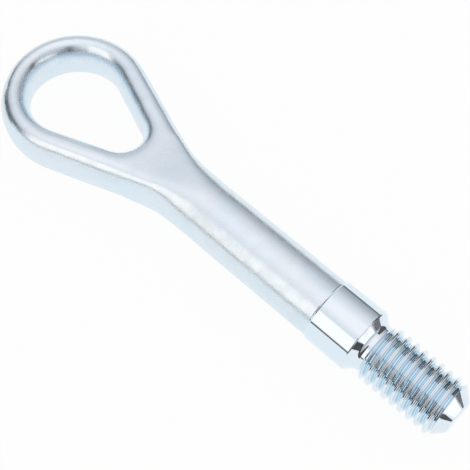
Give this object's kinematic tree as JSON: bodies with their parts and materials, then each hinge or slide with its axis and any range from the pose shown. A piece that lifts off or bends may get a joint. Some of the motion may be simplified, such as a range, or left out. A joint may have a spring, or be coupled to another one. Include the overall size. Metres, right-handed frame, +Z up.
{
  "type": "tow eye",
  "caption": "Forged screw-in tow eye for a car: a teardrop loop drawn into a round shank, with a turned collar, a conical seat and a coarse threaded end.",
  "frame": {"origin": "on the shank axis at the front edge of the collar, where the conical seat starts", "axes": "+X along the shank axis towards the threaded tip, +Y across the loop, +Z square to the plane of the loop; the part lies flat with +Z up"},
  "size_m": [0.17, 0.046, 0.02],
  "materials": {
    "zinc_plated_steel": "bright blue-white zinc plate, satin on the forged eye and shank, bright on the turned end"
  },
  "bodies": {
    "root": {"tow_eye": "zinc_plated_steel"}
  },
  "joints": []
}
